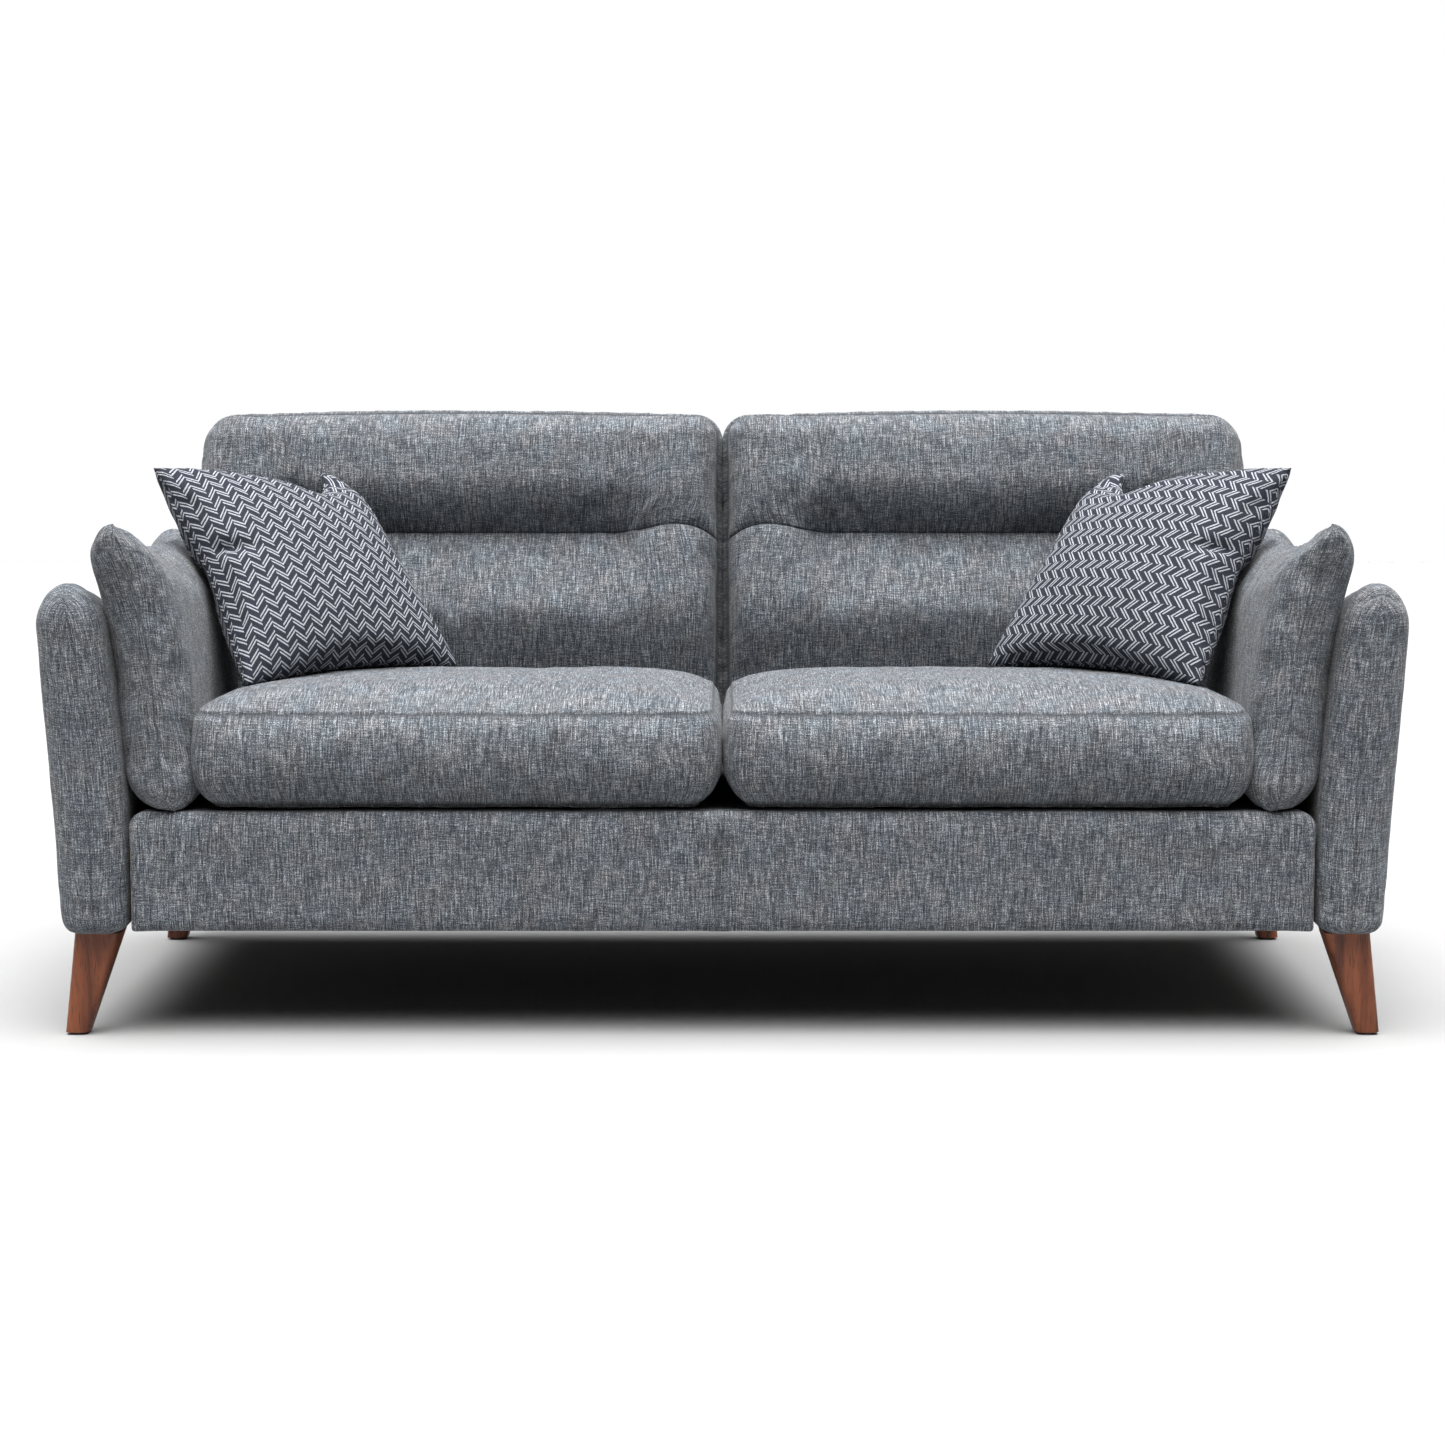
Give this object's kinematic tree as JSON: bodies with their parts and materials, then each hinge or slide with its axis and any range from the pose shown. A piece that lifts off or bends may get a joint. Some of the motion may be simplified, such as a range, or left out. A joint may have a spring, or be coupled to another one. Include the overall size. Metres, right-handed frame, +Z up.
{
  "type": "sofa",
  "caption": "Upholstered sofa with loose seat, back and arm cushions, scatter cushions in the corners, and tapered splayed wooden legs.",
  "frame": {"origin": "on the floor, at the middle of the sofa's footprint", "axes": "+X across the sofa to the right as seen from the front, +Y towards the back, +Z up"},
  "size_m": [2.08, 0.96, 0.948],
  "materials": {
    "blue_grey_weave": "melange linen-look weave, matt",
    "herringbone_cloth": "dark navy cloth with a pale woven herringbone",
    "filling": "foam and fibre",
    "walnut_stained_legs": "stained and lacquered, satin",
    "frame_timber": "planed softwood, unfinished",
    "deck_padding": "quilted platform cloth",
    "black_underlining": "thin spun-bonded cloth",
    "webbing": "elastic webbing",
    "spring_steel": "drawn wire",
    "zinc_fixings": "zinc plated",
    "glide_plastic": "moulded",
    "zip_metal": "dark nickel"
  },
  "bodies": {
    "sofa_frame": {"arm_bolts": "zinc_fixings", "arm_bottom_rail_left": "frame_timber", "arm_bottom_rail_right": "frame_timber", "arm_cover_left": "blue_grey_weave", "arm_cover_right": "blue_grey_weave", "arm_front_panel_left": "frame_timber", "arm_front_panel_right": "frame_timber", "arm_inner_rail_left": "frame_timber", "arm_inner_rail_right": "frame_timber", "arm_rear_panel_left": "frame_timber", "arm_rear_panel_right": "frame_timber", "arm_top_rail_left": "frame_timber", "arm_top_rail_right": "frame_timber", "back_bolts": "zinc_fixings", "back_cover": "blue_grey_weave", "back_lower_rail": "frame_timber", "back_post_centre": "frame_timber", "back_post_left": "frame_timber", "back_post_right": "frame_timber", "back_top_rail": "frame_timber", "back_webbing": "webbing", "centre_rail": "frame_timber", "corner_blocks": "frame_timber", "dust_cover": "black_underlining", "end_rail_left": "frame_timber", "end_rail_right": "frame_timber", "front_border": "blue_grey_weave", "front_rail": "frame_timber", "leg_bolts": "zinc_fixings", "leg_front_left": "walnut_stained_legs", "leg_front_right": "walnut_stained_legs", "leg_glides": "glide_plastic", "leg_plates": "zinc_fixings", "leg_rear_left": "walnut_stained_legs", "leg_rear_right": "walnut_stained_legs", "leg_screws": "zinc_fixings", "rear_rail": "frame_timber", "seat_deck": "deck_padding", "seat_springs": "spring_steel", "spring_clips": "spring_steel"},
    "seat_cushion_left": {"seat_cover_left": "blue_grey_weave", "seat_foam_left": "filling", "seat_zip_left": "zip_metal"},
    "zip_slider_left": {"seat_zip_slider_left": "zip_metal"},
    "back_cushion_left": {"back_cushion_cover_left": "blue_grey_weave", "back_cushion_fill_left": "filling"},
    "arm_cushion_left": {"arm_cushion_cover_left": "blue_grey_weave", "arm_cushion_fill_left": "filling"},
    "scatter_cushion_left": {"scatter_cover_left": "herringbone_cloth", "scatter_fill_left": "filling"},
    "seat_cushion_right": {"seat_cover_right": "blue_grey_weave", "seat_foam_right": "filling", "seat_zip_right": "zip_metal"},
    "zip_slider_right": {"seat_zip_slider_right": "zip_metal"},
    "back_cushion_right": {"back_cushion_cover_right": "blue_grey_weave", "back_cushion_fill_right": "filling"},
    "arm_cushion_right": {"arm_cushion_cover_right": "blue_grey_weave", "arm_cushion_fill_right": "filling"},
    "scatter_cushion_right": {"scatter_cover_right": "herringbone_cloth", "scatter_fill_right": "filling"}
  },
  "joints": [
    {"name": "seat_cushion_left_pulls_out", "type": "slide", "parent": "sofa_frame", "child": "seat_cushion_left", "axis": [0, -0.9659, 0.2588], "range_m": [0, 0.6]},
    {"name": "arm_cushion_left_pulls_out", "type": "slide", "parent": "sofa_frame", "child": "arm_cushion_left", "axis": [0, -0.9998, 0.0174], "range_m": [0, 0.6]},
    {"name": "back_cushion_left_lifts_out", "type": "slide", "parent": "sofa_frame", "child": "back_cushion_left", "axis": [0, 0.2079, 0.9781], "range_m": [0, 0.5]},
    {"name": "scatter_cushion_left_lifts_off", "type": "slide", "parent": "seat_cushion_left", "child": "scatter_cushion_left", "axis": [0, -0.5, 0.866], "range_m": [0, 0.4]},
    {"name": "zip_slider_left_runs", "type": "slide", "parent": "seat_cushion_left", "child": "zip_slider_left", "axis": [1, 0, 0], "range_m": [-0.54, 0]},
    {"name": "seat_cushion_right_pulls_out", "type": "slide", "parent": "sofa_frame", "child": "seat_cushion_right", "axis": [0, -0.9659, 0.2588], "range_m": [0, 0.6]},
    {"name": "arm_cushion_right_pulls_out", "type": "slide", "parent": "sofa_frame", "child": "arm_cushion_right", "axis": [0, -0.9998, 0.0174], "range_m": [0, 0.6]},
    {"name": "back_cushion_right_lifts_out", "type": "slide", "parent": "sofa_frame", "child": "back_cushion_right", "axis": [0, 0.2079, 0.9781], "range_m": [0, 0.5]},
    {"name": "scatter_cushion_right_lifts_off", "type": "slide", "parent": "seat_cushion_right", "child": "scatter_cushion_right", "axis": [0, -0.5, 0.866], "range_m": [0, 0.4]},
    {"name": "zip_slider_right_runs", "type": "slide", "parent": "seat_cushion_right", "child": "zip_slider_right", "axis": [1, 0, 0], "range_m": [0, 0.54]}
  ]
}
